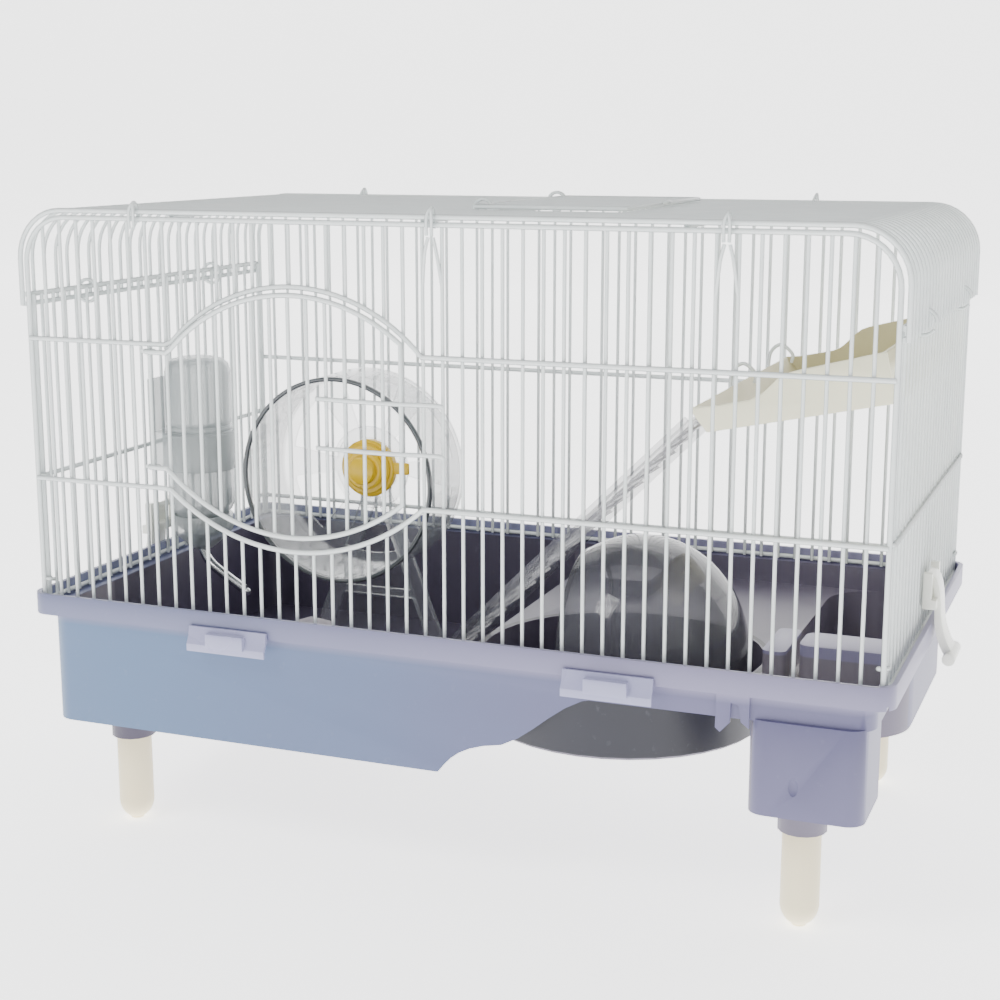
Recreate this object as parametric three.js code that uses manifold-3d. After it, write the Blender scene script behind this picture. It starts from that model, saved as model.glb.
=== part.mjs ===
// Hamster cage: wire top on a moulded tray with peg legs, wheel, bottle, shelf, ladder and dome house.
// Millimetres, +Z up, front faces -Y, origin on the ground under the middle of the tray.
import * as THREE from 'three';
import { mergeVertices } from 'three/addons/utils/BufferGeometryUtils.js';
import Module from 'manifold-3d';

const wasm = await Module();
wasm.setup();

// Driving dimensions
const pitch = 10.4;                       // wire spacing
const frontBays = 44;
const sideBays = 24;
const halfX = pitch * frontBays / 2;      // wire plane of the side panels
const halfY = pitch * sideBays / 2;       // wire plane of the front and back panels
const wire = 2.2;                         // wire thickness
const rimTop = 134;                       // top of the tray rim above the ground
const rimDrop = 11.5;
const rimX = 235;
const rimY = 131;
const wall = 2.2;                         // tray wall thickness
const wallX = 226;
const wallY = 127;
const floorZ = rimTop - 72;               // underside of the deep basin
const ledgeZ = rimTop - 7.5;              // top of the ledge that the wire top stands on
const deckZ = rimTop - 24;                // underside of the shallow deck on the right
const basinEdge = 4.6;                    // the basin ends and the deck begins here
const lowRail = rimTop + 64;
const highRail = rimTop + 140;
const topRail = rimTop + 204;
const footRail = ledgeZ + 0.4 + wire / 2;
const cornerR = 24;
const seamZ = rimTop + 163;               // top rail of the side panels
const lidZ = topRail + 3.6;
const lidX = 233;
const lidR = 26;
const lidHem = rimTop + 156;
const legX = 190;
const legY = 103;
const legR = 10;
const bowl = { x: 80, y: -46.6, r: 76, depth: 54 };
const tub = { x0: 160, y0: -27, r: 30, depth: 60 };         // rear right basin
const wheel = { x: -94, front: -37, deep: 50, z: rimTop + 55, r: 59 };
const shelf = { x: 134, y0: -109, y1: 98, z: rimTop + 111, length: 88, tilt: 12 };
const ladder = { topX: 128, topZ: rimTop + 112, run: 168, width: 60, y: -101 };
const dome = { x: 90, y: -45, r: 58, base: rimTop - 53.7, z: rimTop - 20, mouth: 58 };
const bottle = { x: -202, y: -2, r: 20, top: rimTop + 116, low: rimTop + 20 };
const well = { x0: 167, x1: 223, depth: 50, floor: rimTop - 70 };     // corner well over the front right leg
const clip = { left: -110, right: 99, width: 46 };
const lidBars = [-140, 131];                                          // cross bars under the roof wires
const tie = { front: [-161.2, 5.2, 150.8], rear: [-150.8, 140.4], r: 0.9 };
const seamRingY = 67.6;
const latchBars = { rises: [117, 92], from: -57, to: 13 };            // heights above the rim
const hookY = [-10, 80];
const foot = floorZ + wall + 0.3;                                     // where the stand's runners rest
const doorLeft = -halfX + 8 * pitch;
const door = { hinge: doorLeft - pitch, left: doorLeft, right: doorLeft + 13 * pitch, y: -halfY - 3.4 };
const hatch = { x0: 0, x1: 78, y0: -62.4, y1: 83.2 };

const cage = new THREE.Group();
const finish = (color, roughness, metalness = 0, opacity = 1) => new THREE.MeshStandardMaterial(
  { color, roughness, metalness, opacity, transparent: opacity < 1 });
const coats = {
  wire: finish(0xeef4f3, 0.35), tray: finish(0xa6a4bd, 0.45), leg: finish(0xfbeedb, 0.4),
  clip: finish(0xc4c4dd, 0.3, 0, 0.8), latch: finish(0xf5f6f0, 0.35), clear: finish(0xe4e8ea, 0.1, 0, 0.35),
  dark: finish(0x1c1e22, 0.4), yellow: finish(0xe0ac00, 0.35), steel: finish(0xc8ccd0, 0.25, 1),
  shelf: finish(0xe8e8d4, 0.5), smoke: finish(0x8a8c92, 0.12, 0, 0.45), frost: finish(0xdfe4e4, 0.3, 0, 0.5),
};
function add(name, geometry, coat) {
  const mesh = new THREE.Mesh(geometry, coats[coat].clone());
  mesh.name = name;
  cage.add(mesh);
  return mesh;
}

// Solids
function solid(geometry) {
  const bare = geometry.clone();
  bare.deleteAttribute('normal');
  bare.deleteAttribute('uv');
  const merged = mergeVertices(bare, 1e-4);
  return new wasm.Manifold(new wasm.Mesh({
    numProp: 3,
    vertProperties: new Float32Array(merged.attributes.position.array),
    triVerts: new Uint32Array(merged.index.array),
  }));
}
function geometryOf(body) {
  const mesh = body.getMesh();
  const geometry = new THREE.BufferGeometry();
  geometry.setAttribute('position', new THREE.BufferAttribute(new Float32Array(mesh.vertProperties), 3));
  geometry.setIndex(new THREE.BufferAttribute(new Uint32Array(mesh.triVerts), 1));
  geometry.computeVertexNormals();
  return geometry;
}
const join = (...bodies) => bodies.reduce((sum, body) => sum.add(body));
const cut = (body, ...tools) => tools.reduce((rest, tool) => rest.subtract(tool), body);

function box(x0, x1, y0, y1, z0, z1) {
  const geometry = new THREE.BoxGeometry(x1 - x0, y1 - y0, z1 - z0);
  return geometry.translate((x0 + x1) / 2, (y0 + y1) / 2, (z0 + z1) / 2);
}
function plate(shape, z0, z1, curveSegments = 6) {
  return new THREE.ExtrudeGeometry(shape, { depth: z1 - z0, bevelEnabled: false, curveSegments })
    .translate(0, 0, z0);
}
function roundedShape(x0, x1, y0, y1, r) {
  const shape = new THREE.Shape();
  shape.moveTo(x0 + r, y0).lineTo(x1 - r, y0).absarc(x1 - r, y0 + r, r, -Math.PI / 2, 0);
  shape.lineTo(x1, y1 - r).absarc(x1 - r, y1 - r, r, 0, Math.PI / 2);
  shape.lineTo(x0 + r, y1).absarc(x0 + r, y1 - r, r, Math.PI / 2, Math.PI);
  shape.lineTo(x0, y0 + r).absarc(x0 + r, y0 + r, r, Math.PI, 1.5 * Math.PI);
  return shape;
}
const slab = (x0, x1, y0, y1, r, z0, z1, segments = 4) =>
  plate(roundedShape(x0, x1, y0, y1, r), z0, z1, segments);
// A body of revolution about a vertical axis; the profile is [radius, height] from axis to axis.
function turned(profile, sides, x = 0, y = 0) {
  const points = profile.map(([r, z]) => new THREE.Vector2(r, z));
  return new THREE.LatheGeometry(points, sides).rotateX(Math.PI / 2).translate(x, y, 0);
}
function sweep(path, r, sides, steps) {
  const section = new THREE.Shape();
  for (let i = 0; i < sides; i++) {
    const a = 2 * Math.PI * i / sides;
    section[i ? 'lineTo' : 'moveTo'](r * Math.cos(a), r * Math.sin(a));
  }
  return new THREE.ExtrudeGeometry(section, { steps, extrudePath: path, bevelEnabled: false });
}
const smoothRod = (points, r, sides, steps) =>
  sweep(new THREE.CatmullRomCurve3(points.map((p) => new THREE.Vector3(...p)), false, 'centripetal'),
    r, sides, steps);

// Arch of height rise over the span a to b, zero outside it
function arch(u, a, b, rise) {
  const half = (b - a) / 2;
  if (u <= a || u >= b) return 0;
  const r = (half * half + rise * rise) / (2 * rise);
  return Math.sqrt(r * r - (u - (a + b) / 2) ** 2) - (r - rise);
}

// A grille as one plate: posts at the given u places, rails as heights v(u), one hole per bay.
const flatShape = (points) => new THREE.Shape(points.map(([u, v]) => new THREE.Vector2(u, v)));
function grille(posts, rails, outline, opened = () => false, extraHoles = []) {
  const half = wire / 2;
  const holes = [...extraHoles];
  for (let j = 1; j < rails.length; j++) {
    for (let i = 1; i < posts.length; i++) {
      if (opened(i, j)) continue;
      const a = posts[i - 1] + half;
      const b = posts[i] - half;
      const low = (u) => rails[j - 1](u) + half;
      const high = (u) => rails[j](u) - half;
      if (high(a) - low(a) < 0.6 || high(b) - low(b) < 0.6) continue;
      holes.push([[a, low(a)], [b, low(b)], [b, high(b)], [a, high(a)]]);
    }
  }
  const blank = solid(plate(flatShape(outline), -half, half));
  return geometryOf(cut(blank, ...holes.map((hole) => solid(plate(flatShape(hole), -wire, wire)))));
}
const onXZ = (geometry, y) => geometry.rotateX(Math.PI / 2).translate(0, y, 0);
const onYZ = (geometry, x) => geometry.rotateX(Math.PI / 2).rotateZ(Math.PI / 2).translate(x, 0, 0);
const range = (n, f) => Array.from({ length: n }, (_, i) => f(i));
const frontPosts = range(frontBays + 1, (i) => -halfX + i * pitch);

// Top rail that follows the rounded upper corners
function crown(u) {
  const over = Math.abs(u) - (halfX - cornerR);
  return over <= 0 ? topRail : topRail - cornerR + Math.sqrt(Math.max(0, cornerR ** 2 - over ** 2));
}
function crownedOutline() {
  const half = wire / 2;
  const r = cornerR + half;
  const points = [[-halfX - half, footRail - half], [halfX + half, footRail - half]];
  for (let i = 0; i <= 6; i++) {
    const a = i * Math.PI / 12;
    points.push([halfX - cornerR + r * Math.cos(a), topRail - cornerR + r * Math.sin(a)]);
  }
  for (let i = 6; i >= 0; i--) {
    const a = i * Math.PI / 12;
    points.push([-halfX + cornerR - r * Math.cos(a), topRail - cornerR + r * Math.sin(a)]);
  }
  return points;
}
const openingTop = (u) => highRail + arch(u, door.left + 3, 0, 32);
const openingLow = (u) => lowRail - arch(u, door.left, 0, 28);

function frontPanel() {
  const first = 8;
  const last = 22;
  const half = wire / 2;
  const across = range(17, (i) => door.left + half + (-wire - door.left) * i / 16);
  const hole = [...across.map((u) => [u, openingLow(u) + half]),
    ...across.reverse().map((u) => [u, openingTop(u) - half])];
  const rails = [() => footRail, openingLow, openingTop, crown];
  return onXZ(grille(frontPosts, rails, crownedOutline(),
    (i, j) => j === 2 && i > first && i <= last, [hole]), -halfY);
}
function backPanel() {
  const rails = [() => footRail, () => rimTop + 100.6, crown];
  return onXZ(grille(frontPosts, rails, crownedOutline()), halfY);
}
function sidePanel(side) {
  const end = halfY - 3.4;
  const posts = [-end, ...range(sideBays - 1, (i) => -halfY + (i + 1) * pitch), end];
  const half = wire / 2;
  const outline = [[-end - half, footRail - half], [end + half, footRail - half],
    [end + half, seamZ + half], [-end - half, seamZ + half]];
  return onYZ(grille(posts, [() => footRail, () => lowRail, () => seamZ], outline), side * halfX);
}
function frontDoor() {
  const half = wire / 2;
  const top = (u) => openingTop(u) - 4;
  const low = (u) => openingLow(u) + 11 - 3 * arch(u, door.left, 0, 1);
  const posts = range(14, (i) => door.left + i * pitch);
  const grid = range(15, (i) => door.left - half + (door.right - door.left + wire) * i / 14);
  const outline = [...grid.map((u) => [u, low(u) - half]), ...grid.reverse().map((u) => [u, top(u) + half])];
  const leaf = solid(onXZ(grille(posts, [low, top], outline), door.y));
  const arms = [top(door.left), low(door.left)].map((z) => solid(
    box(door.hinge - half, door.left + half, door.y - half, door.y + half, z - half, z + half)));
  const loops = [top(door.left), low(door.left)].map((z) => cut(
    join(solid(turned([[0, z - 1.3], [4.6, z - 1.3], [4.6, z + 1.3], [0, z + 1.3]], 12, door.hinge, -halfY)),
      solid(box(door.hinge - 4.4, door.hinge, door.y - half, -halfY, z - 1.2, z + 1.2))),
    solid(turned([[0, z - 3], [2.3, z - 3], [2.3, z + 3], [0, z + 3]], 12, door.hinge, -halfY))));
  const bars = latchBars.rises.map((rise) => solid(box(latchBars.from, latchBars.to,
    door.y - half, door.y + half, rimTop + rise - half, rimTop + rise + half)));
  return geometryOf(join(leaf, ...arms, ...loops, ...bars));
}

function lidWire(y, from, to) {
  const bend = (side) => range(4, (i) => {
    const a = i * Math.PI / 6;
    return [side * (lidX - lidR + lidR * Math.sin(a)), y, lidZ - lidR + lidR * Math.cos(a)];
  });
  const left = from === undefined ? [[-lidX, y, lidHem], ...bend(-1).reverse()] : [[from, y, lidZ]];
  const right = to === undefined ? [...bend(1), [lidX, y, lidHem]] : [[to, y, lidZ]];
  const points = [...left, ...right];
  const h = wire / 2;
  // square wire laid along a flat profile: outline in XZ, extruded in Y
  const side = (s) => points.map(([x, , z], i) => {
    const a = points[Math.max(0, i - 1)];
    const b = points[Math.min(points.length - 1, i + 1)];
    const n = Math.hypot(b[0] - a[0], b[2] - a[2]);
    return new THREE.Vector2(x - s * h * (b[2] - a[2]) / n, z + s * h * (b[0] - a[0]) / n);
  });
  const shape = new THREE.Shape([...side(-1), ...side(1).reverse()]);
  return new THREE.ExtrudeGeometry(shape, { depth: wire, bevelEnabled: false })
    .rotateX(Math.PI / 2).translate(0, y + h, 0);
}
function lidPanel() {
  const h = wire / 2;
  const bar = (x, z, y0 = -halfY, y1 = halfY) => solid(box(x - h, x + h, y0 - h, y1 + h, z - h, z + h));
  const wires = range(sideBays + 1, (i) => -halfY + i * pitch).flatMap((y) =>
    (y > hatch.y0 + 1 && y < hatch.y1 - 1
      ? [lidWire(y, undefined, hatch.x0), lidWire(y, hatch.x1, undefined)] : [lidWire(y)]).map(solid));
  const drop = lidZ - 1;
  const bars = [...lidBars.map((x) => bar(x, drop)), bar(hatch.x0, drop),
    bar(hatch.x1, drop, hatch.y0, hatch.y1), bar(0.3 - lidX, lidHem + 2), bar(lidX - 0.3, lidHem + 2)];
  return geometryOf(join(...wires, ...bars));
}
function topHatch() {
  const h = wire / 2;
  const z = lidZ + 2.6;
  const x0 = hatch.x0 + 1.5;
  const x1 = hatch.x1 + 4;
  const y0 = hatch.y0 + 3.4;
  const y1 = hatch.y1 - 3.4;
  const posts = [y0, ...range(13, (i) => hatch.y0 + (i + 1) * pitch), y1];
  const outline = [[y0 - h, x0 - h], [y1 + h, x0 - h], [y1 + h, x1 + h], [y0 - h, x1 + h]];
  const leaf = grille(posts, [() => x0, () => x1], outline);
  return leaf.applyMatrix4(new THREE.Matrix4().makeBasis(new THREE.Vector3(0, 1, 0),
    new THREE.Vector3(1, 0, 0), new THREE.Vector3(0, 0, -1))).translate(0, 0, z);
}
// U-shaped wire that ties the lid's edge wire to a panel's top rail
function lidTie(x, side) {
  const y = side * halfY;
  return smoothRod([[x, y - 2.9, topRail - 5], [x, y - 2.9, lidZ + 1.5], [x, y, lidZ + 4.5],
    [x, y + 2.9, lidZ + 1.5], [x, y + 2.9, topRail - 5]], tie.r, 6, 10);
}
const ring = (x, y, z, r, tube) => new THREE.TorusGeometry(r, tube, 6, 12)
  .rotateX(Math.PI / 2).translate(x, y, z);

function tray() {
  const drop = rimTop - rimDrop;
  const skin = 2.5;
  const bowlFloor = rimTop - bowl.depth;
  const tubFloor = rimTop - tub.depth;
  const outer = [
    slab(-rimX, rimX, -rimY, rimY, 10, drop, rimTop),
    slab(-wallX, basinEdge, -wallY, wallY, 12, floorZ, rimTop - 9),
    slab(basinEdge - 60, wallX, -wallY, wallY, 12, deckZ, rimTop - 9),
    turned([[0, bowlFloor - wall], [bowl.r - 2, bowlFloor - wall], [bowl.r, bowlFloor - 0.4],
      [bowl.r + 1, deckZ + 1], [0, deckZ + 1]], 36, bowl.x, bowl.y),
    slab(tub.x0, wallX - 1, tub.y0, wallY, tub.r, tubFloor - wall, tubFloor + 1, 6),
    slab(tub.x0 - 1, wallX, tub.y0 - 1, wallY, tub.r + 1, tubFloor, deckZ + 1, 6),
    slab(well.x0, well.x1, -wallY - 2, -wallY + well.depth, 9, well.floor, deckZ + 1),
  ];
  // front apron with its S-shaped lower edge
  const apron = new THREE.Shape();
  apron.moveTo(-100, floorZ).lineTo(7, floorZ);
  apron.bezierCurveTo(14, rimTop - 63, 20, rimTop - 56, 42, rimTop - 53);
  apron.bezierCurveTo(60, rimTop - 46, 74, rimTop - 24, 94, rimTop - 22.5);
  apron.bezierCurveTo(124, rimTop - 21, 124, rimTop - 14, 140, rimTop - 11);
  apron.lineTo(140, rimTop - 8).lineTo(-100, rimTop - 8);
  outer.push(onXZ(plate(apron, 0, wall, 6), wall - wallY));
  // notched tab that hangs between the bowl and the corner well
  const tab = flatShape([[152, rimTop - 8], [151.6, rimTop - 29], [154, rimTop - 31], [158.6, rimTop - 26],
    [159, rimTop - 16], [163, rimTop - 17], [164, rimTop - 25], [168, rimTop - 28], [168, rimTop - 8]]);
  outer.push(onXZ(plate(tab, 0, 1.8), -wallY));
  const collars = [[-1, -1], [1, -1], [-1, 1], [1, 1]].map(([sx, sy]) => turned(
    [[0, rimTop - 84], [12.2, rimTop - 84], [12.2, deckZ + 1], [0, deckZ + 1]], 16, sx * legX, sy * legY));
  const t = wall;
  const inner = [
    slab(-rimX + skin, rimX - skin, -rimY + skin, rimY - skin, 8, ledgeZ, rimTop + 5),
    slab(-wallX + t, basinEdge - t, -wallY + t, wallY - t, 10, floorZ + t, rimTop),
    slab(basinEdge - 20, wallX - t, -wallY + t, wallY - t, 10, deckZ + t, rimTop),
    turned([[0, bowlFloor], [bowl.r - 3.6, bowlFloor], [bowl.r - 2.2, bowlFloor + 2],
      [bowl.r - 1.4, deckZ + t + 1], [0, deckZ + t + 1]], 36, bowl.x, bowl.y),
    slab(tub.x0 + t - 1, wallX - t, tub.y0 + t - 1, wallY - t, tub.r - t + 1, tubFloor, deckZ + t + 1, 6),
    slab(well.x0 + t, well.x1 - t, -wallY + t, -wallY + well.depth - t, 7, well.floor + t, deckZ + 6),
    // hollow skirt under the rim, outside the walls
    ...[-1, 1].map((s) => box(s > 0 ? wallX + 1.2 : -rimX + skin, s > 0 ? rimX - skin : -wallX - 0.4,
      -rimY + skin, rimY - skin, drop - 1, ledgeZ - 2)),
  ];
  const sockets = [[-1, -1], [1, -1], [-1, 1], [1, 1]].map(([sx, sy]) => turned(
    [[0, rimTop - 90], [legR + 0.3, rimTop - 90], [legR + 0.3, rimTop - 74], [0, rimTop - 74]],
    16, sx * legX, sy * legY));
  // Moulded play terrain on the deck and two mounds along the front wall
  const mound = (x, y, rx, h, z) => turned([[0, z], [rx, z], [rx * 0.86, z + h * 0.55], [rx * 0.5, z + h * 0.92],
    [0, z + h]], 14, x, y);
  const floor = floorZ + t - 0.2;
  const terrain = [
    slab(178, wallX - 1, -70, -44, 6, deckZ + 1, rimTop - 2),
    slab(160, 172, -72, -28, 4, deckZ + 1, rimTop - 6),
    slab(30, 62, 60, 96, 8, deckZ + 1, rimTop - 12),
    mound(-82, -92, 26, 62, floor), mound(-130, -98, 19, 40, floor),
  ];
  // small moulding dimple in the face of the corner well
  inner.push(new THREE.SphereGeometry(3, 12, 8).scale(0.8, 0.4, 1.6).translate(190, -wallY - 2.2, rimTop - 54));
  const shell = cut(join(...outer.map(solid), ...collars.map(solid)), ...inner.map(solid));
  return geometryOf(cut(join(shell, ...terrain.map(solid)), ...sockets.map(solid)));
}
function leg() {
  const top = rimTop - 74.4;
  return turned([[0, 0], [4, 0], [7.6, 2.2], [9.6, 6.4], [legR, 11], [legR, top], [0, top]], 14);
}
function frontClip(x) {
  // lip profile in YZ: hooks under the rim's skirt and carries a raised thumb tab
  const y = -rimY - 0.4;
  const z = rimTop - rimDrop;
  const profile = new THREE.Shape();
  profile.moveTo(0, 4).lineTo(-1.6, 4).lineTo(-2.4, -1).lineTo(-4.6, -5).lineTo(-4.6, -9);
  profile.lineTo(-3, -9).lineTo(-3, -5.6).lineTo(-0.6, -1.4).lineTo(0, -1.4);
  const body = solid(new THREE.ExtrudeGeometry(profile, { depth: clip.width, bevelEnabled: false })
    .rotateX(Math.PI / 2).rotateZ(Math.PI / 2).translate(x - clip.width / 2, y, z));
  const tab = solid(box(x - 11, x + 11, y - 5.8, y - 1.2, z - 6, z + 1.5));
  return geometryOf(join(body, tab));
}
function sideLatch(side) {
  // curved lever outside the rim with two finger hooks over the panel wires
  const lever = new THREE.Shape();
  lever.moveTo(2, 26).bezierCurveTo(9, 26, 9.4, 14, 10, 4).bezierCurveTo(11, -5, 14, -12, 17, -16);
  lever.lineTo(14, -19).bezierCurveTo(9, -13, 6.8, -5, 6.6, 4).bezierCurveTo(6.5, 10, 6, 22, 2, 23);
  const body = solid(new THREE.ExtrudeGeometry(lever, { depth: 16, bevelEnabled: false, curveSegments: 6 })
    .rotateX(Math.PI / 2).translate(halfX + 0.6, -2 + 8, rimTop));
  const grip = solid(new THREE.CylinderGeometry(3.4, 3.4, 26, 12).translate(halfX + 16, -2, rimTop - 18));
  const fork = [-14, 12].map((y) => solid(box(halfX + 1.6, halfX + 6, y - 2, y + 2, rimTop + 8, rimTop + 27)));
  const bridge = solid(box(halfX + 2.4, halfX + 8.6, -16, 14, rimTop + 8, rimTop + 13));
  const latch = geometryOf(join(body, grip, bridge, ...fork));
  return side > 0 ? latch : latch.rotateZ(Math.PI);
}

function wheelParts() {
  const { x, front, deep, z, r } = wheel;
  const lay = (geometry) => geometry.rotateX(-Math.PI / 2).translate(x, front, z);
  // profile heights run from the open front (0) to the back wall (deep)
  const drum = solid(turned([[0, deep - 2], [r - 2.2, deep - 2], [r - 2.2, 3.4], [r - 0.2, 3.4],
    [r - 0.2, deep], [0, deep]], 32));
  const window = (a) => {
    const arcShape = new THREE.Shape();
    arcShape.absarc(0, 0, r - 9, a + 0.14, a + 0.9, false).absarc(0, 0, 24, a + 0.8, a + 0.24, true);
    return solid(plate(arcShape, deep - 6, deep + 4, 3));
  };
  const bore = solid(turned([[0, deep - 8], [2.4, deep - 8], [2.4, deep + 8], [0, deep + 8]], 12));
  const shell = geometryOf(cut(drum, ...range(6, (i) => window(i * Math.PI / 3)), bore));
  add('wheel_drum', lay(shell), 'clear');
  add('wheel_front_ring',
    lay(turned([[r - 2.6, 0], [r, 0], [r, 3.1], [r - 2.6, 3.1], [r - 2.6, 0]], 32)), 'dark');
  add('wheel_hub_cap', lay(turned([[0, deep - 18], [9, deep - 18], [12, deep - 14], [12, deep - 10],
    [17, deep - 8], [17, deep - 2.4], [2.4, deep - 2.4], [2.4, deep - 6], [0, deep - 6]], 24)), 'yellow');
  add('wheel_axle',
    lay(turned([[0, deep - 5.6], [2, deep - 5.6], [2, deep + 12], [0, deep + 12]], 12)), 'steel');
  add('wheel_spacer', lay(turned([[2.3, deep + 0.4], [5, deep + 0.4], [5, deep + 2.6], [2.3, deep + 2.6],
    [2.3, deep + 0.4]], 16)), 'yellow');
  // A-shaped stand behind the drum
  const y0 = front + deep + 3.2;
  const boss = solid(turned([[0, deep + 3.2], [9, deep + 3.2], [9, deep + 9], [0, deep + 9]], 20)
    .rotateX(-Math.PI / 2).translate(x, front, z));
  const bore2 = solid(turned([[0, deep], [2.25, deep], [2.25, deep + 14], [0, deep + 14]], 12)
    .rotateX(-Math.PI / 2).translate(x, front, z));
  const strut = (s) => {
    const shape = new THREE.Shape([[x, z + 4], [x - s * 6, z - 2], [x + s * 40, foot], [x + s * 50, foot]]
      .map(([u, v]) => new THREE.Vector2(u, v)));
    return solid(new THREE.ExtrudeGeometry(shape, { depth: 5, bevelEnabled: false })
      .rotateX(Math.PI / 2).translate(0, y0 + 5, 0));
  };
  const sill = solid(box(x - 50, x + 50, y0, y0 + 5, foot, foot + 6));
  const brace = solid(box(x - 30, x + 30, y0 + 0.5, y0 + 4.5, foot + 45, foot + 50));
  const runners = [-47, 47].map((u) => solid(box(x + u - 3, x + u + 3, front + 4, y0 + 16, foot, foot + 4)));
  add('wheel_stand', geometryOf(cut(join(boss, strut(-1), strut(1), sill, brace, ...runners), bore2)), 'clear');
}

function bottleParts() {
  const { x, y, r, top, low } = bottle;
  add('bottle_body', turned([[0, top - 1.8], [r - 4, top - 3.6], [r - 1.5, top - 8], [r - 1.5, low + 8.6],
    [r - 5.5, low + 3.6], [r - 5.5, low - 2], [r - 4, low - 2], [r - 4, low + 3], [r, low + 8],
    [r, top - 7], [r - 3, top - 2], [6, top + 1], [0, top + 1]], 18, x, y), 'frost');
  const cap = cut(solid(turned([[0, low - 20], [5.2, low - 20], [r - 1, low - 8], [r - 1, low + 1.5],
    [r - 3.5, low + 1.5], [r - 3.5, low - 5], [4, low - 14], [0, low - 14]], 18, x, y)),
  solid(turned([[0, low - 30], [3.9, low - 30], [3.9, low], [0, low]], 12, x, y)));
  add('bottle_cap', geometryOf(cap), 'frost');
  add('bottle_seal', turned([[r - 8.5, low - 4.4], [r - 3.9, low - 4.4], [r - 3.9, low - 2.4],
    [r - 8.5, low - 2.4], [r - 8.5, low - 4.4]], 20, x, y), 'dark');
  const spoutPath = [[x, y, low - 12], [x, y, low - 21], [x + 8, y - 2.5, low - 30],
    [x + 36, y - 12, low - 41]];
  add('bottle_spout', geometryOf(cut(solid(smoothRod(spoutPath, 2.9, 10, 14)),
    solid(box(x + 33.5, x + 44, y - 20, y, low - 50, low - 30)))), 'steel');
  add('spout_ball', new THREE.IcosahedronGeometry(2.1, 1).translate(x + 36.6, y - 12.4, low - 41.4), 'steel');
  const zone = [rimTop + 50, rimTop + 72];
  const sleeve = cut(
    join(solid(turned([[0, zone[0]], [r + 2.6, zone[0]], [r + 2.6, zone[1]], [0, zone[1]]], 24, x, y)),
      solid(box(-halfX + 1.6, x, y - 16, y + 16, zone[0], zone[1])),
      solid(box(-halfX + 1.6, -halfX + 3.4, y - 16, y + 16, zone[0], rimTop + 104))),
    solid(turned([[0, zone[0] - 4], [r + 0.4, zone[0] - 4], [r + 0.4, zone[1] + 60], [0, zone[1] + 60]],
      24, x, y)));
  add('bottle_holder', geometryOf(sleeve), 'frost');
}

function shelfParts() {
  const { y0, y1, length, z, x, tilt } = shelf;
  const t = 2.4;
  const side = new THREE.Shape();
  side.moveTo(0, 0).lineTo(length, 0).lineTo(length, 24).lineTo(length * 0.5, 22);
  side.bezierCurveTo(length * 0.4, 22, length * 0.34, 12, length * 0.24, 12).lineTo(3, 12);
  side.lineTo(-6, 13).lineTo(-7, 11);
  const across = { depth: y1 - y0, bevelEnabled: false, curveSegments: 6 };
  const solidSide = solid(new THREE.ExtrudeGeometry(side, across)
    .rotateX(Math.PI / 2).translate(0, y1, 0));
  const hollow = solid(box(-20, length - t, y0 + t, y1 - t, t, 40));
  const lip = new THREE.Shape([[-6, 13], [-7, 11], [-1.2, 0], [0.2, 0], [0.2, t], [-4.4, 11.6]]
    .map(([u, v]) => new THREE.Vector2(u, v)));
  const edge = solid(new THREE.ExtrudeGeometry(lip, { depth: y1 - y0, bevelEnabled: false })
    .rotateX(Math.PI / 2).translate(0, y1, 0));
  const board = add('shelf_board', geometryOf(join(cut(solidSide, hollow), edge)), 'shelf');
  board.position.set(x + 6, 0, z - 2);
  board.rotation.y = -THREE.MathUtils.degToRad(tilt);
  for (const [name, y] of [['shelf_hook_front', hookY[0]], ['shelf_hook_rear', hookY[1]]]) {
    const lipX = x - 5;
    const lipZ = z + 11.5;
    add(name, smoothRod([[lipX - 4, y, lipZ - 10], [lipX - 3, y, lipZ + 2], [lipX + 3.5, y, lipZ + 7],
      [lipX + 10, y, lipZ + 2], [lipX + 9.4, y, lipZ - 3.6]], 1, 6, 12), 'wire');
  }
}
function ladderSolid() {
  const { topX, topZ, run, width, y } = ladder;
  const length = run * Math.SQRT2;
  const deck = solid(box(0, length, 0, width, -1.1, 1.1));
  const rails = [0, width - 2].map((v) => solid(box(0, length, v, v + 2, -3.2, 5)));
  const rungs = range(Math.floor(length / 12), (i) =>
    solid(box(8 + i * 12, 10 + i * 12, 1, width - 1, 0.9, 3)));
  const geometry = geometryOf(join(deck, ...rails, ...rungs));
  return geometry.rotateY(Math.PI * 0.75).translate(topX, y, topZ);
}
function domeHouse() {
  const { x, y, r, base, z, mouth } = dome;
  const arc = (radius, n) => range(n + 1, (i) => {
    const a = i * Math.PI / 2 / n;
    return [radius * Math.cos(a), z + radius * 1.06 * Math.sin(a)];
  });
  const outer = solid(turned([[0, base], [r, base], ...arc(r, 6)], 26, x, y));
  const inner = solid(turned([[0, base - 2], [r - 2, base - 2], ...arc(r - 2, 6)], 26, x, y));
  const slice = solid(box(x - r - 5, mouth, y - r - 5, y + r + 5, base - 5, z + r + 10));
  return geometryOf(cut(outer, inner, slice));
}

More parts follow.
